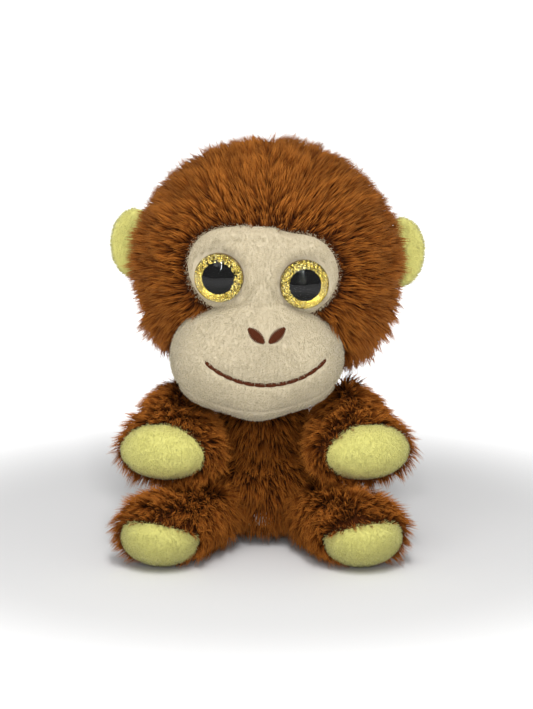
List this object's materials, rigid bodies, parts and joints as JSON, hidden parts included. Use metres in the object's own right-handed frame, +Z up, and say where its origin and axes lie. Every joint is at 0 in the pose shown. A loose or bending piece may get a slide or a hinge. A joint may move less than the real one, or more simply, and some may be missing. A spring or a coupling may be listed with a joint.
{
  "type": "stuffed monkey",
  "caption": "Seated plush monkey with a large head, round muzzle, glitter eyes, stitched smile, and contrast ears, palms and soles.",
  "frame": {"origin": "on the surface the toy sits on, under the middle of the seat", "axes": "+Z up, -Y ahead (the way the face looks), +X towards the toy's own left"},
  "size_m": [0.1123, 0.0975, 0.143],
  "materials": {
    "brown_plush": "long-pile brushed plush",
    "cream_velour": "short-pile velour",
    "green_velour": "short-pile velour",
    "fibre_fill": "loose polyester fibre",
    "pouch_cloth": "thin woven lining",
    "pellet_plastic": "matt moulded beads",
    "dark_thread": "embroidery thread",
    "eye_clear": "polished clear acrylic",
    "eye_glitter": "gold glitter film",
    "eye_black": "gloss black",
    "eye_plate": "moulded dark plastic",
    "washer_plastic": "moulded white plastic"
  },
  "bodies": {
    "torso": {"torso_front_panel": "brown_plush", "torso_back_panel": "brown_plush", "torso_stuffing": "fibre_fill", "pellet_pouch": "pouch_cloth", "pellets": "pellet_plastic"},
    "neck": {"neck_gather": "brown_plush"},
    "head": {"head_left_panel": "brown_plush", "head_right_panel": "brown_plush", "head_back_panel": "brown_plush", "head_stuffing": "fibre_fill", "face_mask": "cream_velour", "muzzle_upper": "cream_velour", "muzzle_chin": "cream_velour", "muzzle_stuffing": "fibre_fill", "nostril_stitches": "dark_thread", "mouth_stitches": "dark_thread", "left_eye_dome": "eye_clear", "left_eye_iris": "eye_glitter", "left_eye_pupil": "eye_black", "left_eye_post": "eye_plate", "left_eye_washer": "washer_plastic", "right_eye_dome": "eye_clear", "right_eye_iris": "eye_glitter", "right_eye_pupil": "eye_black", "right_eye_post": "eye_plate", "right_eye_washer": "washer_plastic"},
    "left_ear": {"left_ear_front": "green_velour", "left_ear_back": "green_velour"},
    "left_arm": {"left_arm_sleeve": "brown_plush", "left_arm_palm": "green_velour", "left_arm_stuffing": "fibre_fill"},
    "left_leg": {"left_leg_sleeve": "brown_plush", "left_leg_sole": "green_velour", "left_leg_stuffing": "fibre_fill"},
    "right_ear": {"right_ear_front": "green_velour", "right_ear_back": "green_velour"},
    "right_arm": {"right_arm_sleeve": "brown_plush", "right_arm_palm": "green_velour", "right_arm_stuffing": "fibre_fill"},
    "right_leg": {"right_leg_sleeve": "brown_plush", "right_leg_sole": "green_velour", "right_leg_stuffing": "fibre_fill"}
  },
  "joints": [
    {"name": "head_turn", "type": "hinge", "parent": "torso", "child": "neck", "pos_m": [0, 0.004, 0.0562], "axis": [0, 0, 1], "range_deg": [-14, 14], "stiffness_Nm_per_rad": 0.15},
    {"name": "head_nod", "type": "hinge", "parent": "neck", "child": "head", "pos_m": [0, 0.004, 0.0562], "axis": [-1, 0, 0], "range_deg": [-1, 12], "stiffness_Nm_per_rad": 0.4},
    {"name": "left_ear_fold", "type": "hinge", "parent": "head", "child": "left_ear", "pos_m": [0.04882, 0.008, 0.10232], "axis": [0.0349, 0, 0.9994], "range_deg": [-20, 20], "stiffness_Nm_per_rad": 0.003},
    {"name": "left_arm_swing", "type": "hinge", "parent": "torso", "child": "left_arm", "pos_m": [0.029, 0.002, 0.0465], "axis": [0, 0, 1], "range_deg": [-3, 50], "stiffness_Nm_per_rad": 0.03},
    {"name": "left_leg_splay", "type": "hinge", "parent": "torso", "child": "left_leg", "pos_m": [0.02025, -0.01813, 0.0127], "axis": [0, 0, 1], "range_deg": [-5, 22], "stiffness_Nm_per_rad": 0.04},
    {"name": "right_ear_fold", "type": "hinge", "parent": "head", "child": "right_ear", "pos_m": [-0.04548, 0.008, 0.10562], "axis": [0.0349, 0, 0.9994], "range_deg": [-20, 20], "stiffness_Nm_per_rad": 0.003},
    {"name": "right_arm_swing", "type": "hinge", "parent": "torso", "child": "right_arm", "pos_m": [-0.029, 0.002, 0.0465], "axis": [0, 0, -1], "range_deg": [-3, 50], "stiffness_Nm_per_rad": 0.03},
    {"name": "right_leg_splay", "type": "hinge", "parent": "torso", "child": "right_leg", "pos_m": [-0.02025, -0.01813, 0.0127], "axis": [0, 0, -1], "range_deg": [-5, 22], "stiffness_Nm_per_rad": 0.04}
  ]
}
